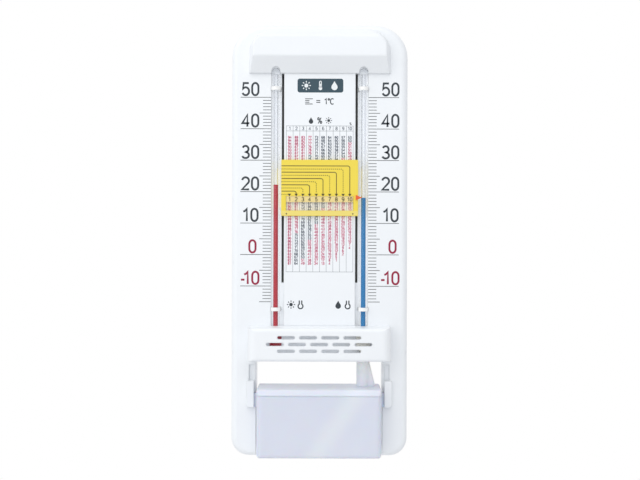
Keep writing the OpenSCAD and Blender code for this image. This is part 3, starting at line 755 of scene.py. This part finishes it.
def build_signs():
    """The note on the scale, the signs over the table and the signs of the two bulbs."""
    words = Print(PANEL)
    for i in range(NOTE_LINES):
        z = NOTE_Z + NOTE_LINE_LIFT + i * NOTE_LINE_PITCH
        words.line(NOTE_LEFT, z, NOTE_SHORT if i % 3 else NOTE_LONG, z, NOTE_LINE_W)
    for lift in EQUALS_LIFTS:
        words.line(EQUALS_LEFT, NOTE_Z + lift, EQUALS_RIGHT, NOTE_Z + lift, EQUALS_W)
    words.text("1°C", NOTE_DEGREE_X, NOTE_Z, NOTE_H, NOTE_STROKE, MIDDLE_STEPS)
    words.drop(-TITLE_PITCH, TITLE_Z, TITLE_H)
    words.text("%", 0.0, TITLE_Z, TITLE_H, TITLE_STROKE, MIDDLE_STEPS)
    words.sun(TITLE_PITCH, TITLE_Z, TITLE_H, TITLE_RAY_W)
    words.text("%", TABLE_HALF - CORNER_INSET, TABLE_TOP + CORNER_LIFT, CORNER_H, CORNER_STROKE,
               SMALL_STEPS)
    for side, sign in ((-1, words.sun), (1, words.drop)):
        middle = side * BULB_SIGN_X
        sign(middle - BULB_SIGN_SPREAD, BULB_SIGN_Z, BULB_SIGN_H)
        words.bulb(middle + BULB_SIGN_SPREAD, BULB_SIGN_Z, BULB_SIGN_H, BULB_SIGN_W)
    words.build("face_signs", SLATE_INK, "body")


# Slider

# Leader lines: width, length of a dash, radius of a bend, gap at the slider's edge, height of the foot
# over the pointer, and the least straight run below a bend
LINE_W = 0.46
DASH = 0.6
BEND_R = 1.3
EDGE_GAP = 0.2
FOOT_LIFT = 2.1
RUN_LEAST = 0.2
# Width of the slant that replaces a bend with no room
SLANT = 0.4
ARROW_LIFT = 2.3
ARROW_H = 1.5
ARROW_HALF = 1.1
# The numbered band at the top of the window
BAND_H = 3.55
BAND_DROP = 0.05
BAND_MARGIN = 0.1
BAND_DIGIT_LIFT = 0.5
BAND_DIGIT_H = 2.5
BAND_STROKE = 0.46
# The paler strip below the window, and the pins at its ends
FOOT_MARGIN = 0.3
PIN_X = 20.2
PIN_LIFT = 1.3
PIN_R = 0.45


def leader(k):
    """Route of the line for a difference of k degrees, from the slider's edge to its arrow."""
    z = POINTER_Z + k * DEGREE
    x = column_x(k)
    start = (slider_low.x + EDGE_GAP, z)
    foot = (x, POINTER_Z + FOOT_LIFT)
    if z - foot[1] < BEND_R + RUN_LEAST:
        return [start, (x - SLANT, z), foot]
    return [start] + arc(x - BEND_R, z - BEND_R, BEND_R, BEND_R, 90, 0, MIDDLE_STEPS) + [foot]


def dashes(points, length):
    """Cuts a route into dashes of a length, with gaps of the same length."""
    pieces, walked, current = [], 0.0, [points[0]]
    for (x0, z0), (x1, z1) in zip(points, points[1:]):
        step = math.hypot(x1 - x0, z1 - z0)
        done = 0.0
        while walked + step - done >= length:
            done += length - walked
            share = done / step
            cut = (x0 + (x1 - x0) * share, z0 + (z1 - z0) * share)
            current.append(cut)
            pieces.append(current)
            current = [cut]
            walked = 0.0
        walked += step - done
        current.append((x1, z1))
    return [p for p in pieces[::2] if len(p) > 1]


def build_leaders():
    """Leader lines of the slider with their arrows, each second one dashed."""
    lines = Print(SLIDER_FACE)
    for k in range(1, COLUMNS + 1):
        route = leader(k)
        if k % 2 == 0:
            lines.stroke(route, LINE_W)
        else:
            for dash in dashes(route, DASH):
                lines.stroke(dash, LINE_W)
        lines.arrow(column_x(k), POINTER_Z + ARROW_LIFT, ARROW_HALF, ARROW_H)
    lines.build("slider_leaders", BROWN_INK, "slider")


def build_band():
    """The numbered band on the slider's window."""
    band = Print(-window_low.y)
    band_high = window_high.z - BAND_DROP
    band_low = band_high - BAND_H
    band.patch(window_low.x + BAND_MARGIN, window_high.x - BAND_MARGIN, band_low, band_high)
    band.build("slider_band", BAND_INK, "slider")
    numbers = Print(-window_low.y + INK_T)
    for k in range(1, COLUMNS + 1):
        numbers.text(str(k), column_x(k), band_low + BAND_DIGIT_LIFT, BAND_DIGIT_H, BAND_STROKE,
                     MIDDLE_STEPS)
    numbers.build("slider_numbers", BROWN_INK, "slider")


def build_slider_foot():
    """The paler strip below the slider's window, with its two pins."""
    foot = Print(SLIDER_FACE)
    foot.patch(slider_low.x + FOOT_MARGIN, slider_high.x - FOOT_MARGIN, slider_low.z + FOOT_MARGIN,
               window_low.z - FOOT_MARGIN)
    foot.build("slider_foot", FOOT_INK, "slider")

    pins = Print(SLIDER_FACE + INK_T)
    for side in (-1, 1):
        pins.disc(side * PIN_X, slider_low.z + PIN_LIFT, PIN_R)
    pins.build("slider_pins", BROWN_INK, "slider")


# Spirit columns

# How far the spirit reaches into the glass, so that it wets it, and the radius that a profile ends at
WETTING = 0.02
AXIS_R = 0.02
SPIRIT_SIDES = 32
BULB_RINGS = 10
# Where the stem begins below the gauze's upper end, and the height of the bulb's shoulder
STEM_DROP = 0.6
SHOULDER_H = 1.8
# The spirit's surface: shares of the bore with how far they lie below its upper end, and its middle
SURFACE = ((1.0, 0.1), (0.97, 0.0), (0.6, 0.22))
SURFACE_MIDDLE = 0.3


def build_spirit(name, side, material):
    """Spirit in the bulb and bore, a hair over the bore so that it wets the glass."""
    inner = BULB_R - GLASS_T + WETTING
    bore = BORE_R + WETTING
    low = glass_low.z + GLASS_T
    middle = low + inner
    spirit_top = box_mm(name)[1].z
    stem = sleeve_high.z - STEM_DROP
    angles = [math.radians(90 * i / BULB_RINGS) for i in range(1, BULB_RINGS + 1)]
    profile = [(AXIS_R, low)]
    profile += [(inner * math.sin(a), middle - inner * math.cos(a)) for a in angles]
    profile += [(inner, stem - SHOULDER_H), (bore, stem)]
    profile += [(bore * share, spirit_top - drop) for share, drop in SURFACE]
    profile.append((AXIS_R, spirit_top - SURFACE_MIDDLE))
    piece = lathe(name + "_column", profile, SPIRIT_SIDES, side * TUBE_X, material)
    piece.visible_shadow = False
    piece.visible_diffuse = False
    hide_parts(name)


# Wick

# Knit: columns of stitches round the sleeve and the tail, the height of a course and the relief
SLEEVE_WALES = 26
TAIL_WALES = 14
SIDES_TO_A_WALE = 4
COURSE = 0.9
COURSE_SHIFT = 0.9
COURSE_SHARE = 0.5
SLEEVE_RELIEF = 0.07
TAIL_RELIEF = 0.06
# Gauze sleeve, from the top: its tied neck, as distances off the stem's wrap and drops from the top,
# its shoulder, its folds, and its foot, as insets from the widest radius and lifts from the lower end
SLEEVE_INSET = 0.1
WRAP_R = 3.0
GAUZE_NECK = ((0.15, 0.0), (-0.1, 0.5), (0.2, 1.0))
GAUZE_SHOULDER = 2.4
FOLDS = 14
FOLD_DEPTH = 0.05
FOLD_PHASE = 2.1
FOLD_PITCH = 0.45
GAUZE_FOOT = ((0.2, 3.6), (0.7, 2.3))
GAUZE_TIP_OUT, GAUZE_TIP_LIFT = 0.4, 0.8
OUTLINE_STEPS = 3
TAIL_TIP_SHARE = 0.55
TAIL_TIP_H = 0.25
TAIL_RINGS = 120
# Thread: points round its ring and round itself, its turns and the relief of its twist
THREAD_AROUND = 120
THREAD_ACROSS = 12
THREAD_TURNS = 24
THREAD_RELIEF = 0.1


def knit(depth, wales):
    """Relief of a knit: upright wales crossed by courses."""
    def relief(turn, z):
        row = math.sin(2 * math.pi * z / COURSE)
        return depth * (math.cos(wales * turn + COURSE_SHIFT * row) + COURSE_SHARE * row)
    return relief


def build_sleeve():
    """Gauze sleeve on the wet bulb."""
    outer = (sleeve_high.x - sleeve_low.x) / 2 - SLEEVE_INSET
    top, low = sleeve_high.z, sleeve_low.z
    shoulder = top - GAUZE_SHOULDER
    outline = [(WRAP_R + out, top - drop) for out, drop in GAUZE_NECK]
    outline.append((outer, shoulder))
    outline += [(outer + FOLD_DEPTH * math.sin(i * FOLD_PHASE), shoulder - i * FOLD_PITCH)
                for i in range(1, FOLDS + 1)]
    outline += [(outer - inset, low + lift) for inset, lift in GAUZE_FOOT]
    outline += [(TAIL_R + GAUZE_TIP_OUT, low + GAUZE_TIP_LIFT), (TAIL_R, low)]
    smooth = []
    for (r0, z0), (r1, z1) in zip(outline, outline[1:]):
        smooth += [(r0 + (r1 - r0) * i / OUTLINE_STEPS, z0 + (z1 - z0) * i / OUTLINE_STEPS)
                   for i in range(OUTLINE_STEPS)]
    smooth.append(outline[-1])
    sleeve = lathe("gauze_sleeve", smooth, SLEEVE_WALES * SIDES_TO_A_WALE, TUBE_X, GAUZE,
                   knit(SLEEVE_RELIEF, SLEEVE_WALES))
    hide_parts("wick_sleeve")


def build_tail():
    """Tail of the wick, straight down through the neck into the tank."""
    length = tail_high.z - tail_low.z
    radius = TAIL_R - TAIL_RELIEF
    profile = [(radius * TAIL_TIP_SHARE, tail_low.z)]
    profile += [(radius, tail_low.z + TAIL_TIP_H + (length - TAIL_TIP_H) * i / TAIL_RINGS)
                for i in range(TAIL_RINGS + 1)]
    tail = lathe("wick_tail_knit", profile, TAIL_WALES * SIDES_TO_A_WALE, TUBE_X, GAUZE,
                 knit(TAIL_RELIEF, TAIL_WALES))
    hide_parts("wick_tail")


def build_thread():
    """Thread tied round the gauze above the bulb."""
    thread_r = (thread_high.z - thread_low.z) / 2
    ring_r = (thread_high.x - thread_low.x) / 2 - thread_r
    verts = []
    for i in range(THREAD_AROUND):
        turn = 2 * math.pi * i / THREAD_AROUND
        for j in range(THREAD_ACROSS):
            roll = 2 * math.pi * j / THREAD_ACROSS
            twist = math.cos(2 * roll + THREAD_TURNS * turn)
            r = thread_r * (1 - THREAD_RELIEF + THREAD_RELIEF * twist)
            reach = ring_r + r * math.cos(roll)
            verts.append((TUBE_X + reach * math.cos(turn), -TUBE_DEPTH + reach * math.sin(turn),
                          (thread_low.z + thread_high.z) / 2 + r * math.sin(roll)))
    faces = grid_faces(THREAD_AROUND, THREAD_ACROSS)
    last = (THREAD_AROUND - 1) * THREAD_ACROSS
    faces += [(last + j, last + (j + 1) % THREAD_ACROSS, (j + 1) % THREAD_ACROSS, j)
              for j in range(THREAD_ACROSS)]
    thread = add_mesh("wick_thread_twisted", verts, faces, THREAD, "body", smooth=True)
    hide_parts("wick_thread")


# Camera, stage and lights

# The photograph's width in pixels, and its scale on the body's face in millimetres to a pixel
FRAME_W = 640
SCALE = 0.612
# Camera: distance from the body's face, place, roll in degrees, sensor's width, and near limit in metres
CAMERA_DISTANCE = 500.0
CAMERA_X = 0.3
CAMERA_Z = -119.0
ROLL = 0.16
SENSOR = 36.0
CLIP_START = 0.01
# Light of the world on the object
WORLD_COLOUR = (0.955, 0.97, 1.0, 1.0)
WORLD_STRENGTH = 0.69
# Half the floor's side, its height and its colour
FLOOR_HALF = 900.0
FLOOR_Z = -620.0
FLOOR_COLOUR = (0.9, 0.9, 0.9, 1.0)


def build_camera():
    """The camera, straight in front of the body as in the photograph."""
    camera = bpy.data.objects.new("camera", bpy.data.cameras.new("camera"))
    bpy.context.scene.collection.objects.link(camera)
    camera.data.sensor_width = SENSOR
    camera.data.lens = SENSOR * CAMERA_DISTANCE / (FRAME_W * SCALE)
    camera.data.clip_start = CLIP_START
    camera.location = Vector((CAMERA_X, -(FACE + CAMERA_DISTANCE), CAMERA_Z)) * MM
    camera.rotation_euler = (math.radians(90), math.radians(-ROLL), 0)
    bpy.context.scene.camera = camera


def seen_as_white(tree):
    """A factor of 1 for camera, glossy and transmission rays that no matt surface has scattered yet."""
    path = tree.nodes.new("ShaderNodeLightPath").outputs
    value = combine(tree, "MAXIMUM", path["Is Camera Ray"], path["Is Glossy Ray"])
    value = combine(tree, "MAXIMUM", value, path["Is Transmission Ray"])
    unscattered = combine(tree, "LESS_THAN", path["Diffuse Depth"], 0.5)
    return combine(tree, "MULTIPLY", value, unscattered)


def build_world():
    """A white backdrop that lights the object with a softer, cooler light."""
    world = bpy.data.worlds.new("world")
    bpy.context.scene.world = world
    world.use_nodes = True
    tree = world.node_tree
    plain = tree.nodes["Background"]
    plain.inputs["Color"].default_value = WORLD_COLOUR
    plain.inputs["Strength"].default_value = WORLD_STRENGTH
    white = tree.nodes.new("ShaderNodeBackground")
    white.inputs["Color"].default_value = (1, 1, 1, 1)
    white.inputs["Strength"].default_value = 1.0
    mix = tree.nodes.new("ShaderNodeMixShader")
    tree.links.new(seen_as_white(tree), mix.inputs["Fac"])
    tree.links.new(plain.outputs["Background"], mix.inputs[1])
    tree.links.new(white.outputs["Background"], mix.inputs[2])
    tree.links.new(mix.outputs["Shader"], tree.nodes["World Output"].inputs["Surface"])


def build_floor():
    """A pale floor well below the hanging object."""
    mesh = bpy.data.meshes.new("floor")
    corners = [(x * FLOOR_HALF, y * FLOOR_HALF, FLOOR_Z) for x, y in ((-1, -1), (1, -1), (1, 1), (-1, 1))]
    mesh.from_pydata([Vector(v) * MM for v in corners], [], [(0, 1, 2, 3)])
    finish = Finish("floor", FLOOR_COLOUR, roughness=0.8)
    finish.vary_colour(finish.noise(scale=4.0), spread=0.01)
    mesh.materials.append(finish.material)
    floor = bpy.data.objects.new("floor", mesh)
    bpy.context.scene.collection.objects.link(floor)


def add_light(name, place, size, power, colour):
    """A soft square lamp at a place in metres, that looks at the middle of the object."""
    data = bpy.data.lights.new(name, "AREA")
    data.size = size
    data.energy = power
    data.color = colour
    lamp = bpy.data.objects.new(name, data)
    lamp.location = place
    aim = Vector((0, 0, CAMERA_Z * MM)) - Vector(place)
    lamp.rotation_euler = aim.to_track_quat("-Z", "Y").to_euler()
    bpy.context.scene.collection.objects.link(lamp)


def build_lights():
    """A wide key lamp from the upper left and a weak one from above."""
    add_light("key", place=(-0.6, -1.0, 0.75), size=2.4, power=14.5, colour=(1.0, 1.0, 0.99))
    add_light("top", place=(0.0, -0.6, 1.1), size=1.0, power=1.2, colour=(1.0, 1.0, 1.0))


build_camera()
build_sleeve()
build_tail()
build_thread()
dress_nodes()
build_scales()
build_table()
build_label()
build_signs()
build_leaders()
build_band()
build_slider_foot()
build_spirit("dry_bulb_spirit", -1, RED)
build_spirit("wet_bulb_spirit", 1, BLUE)
build_world()
build_floor()
build_lights()
bpy.context.scene.view_settings.view_transform = "Standard"
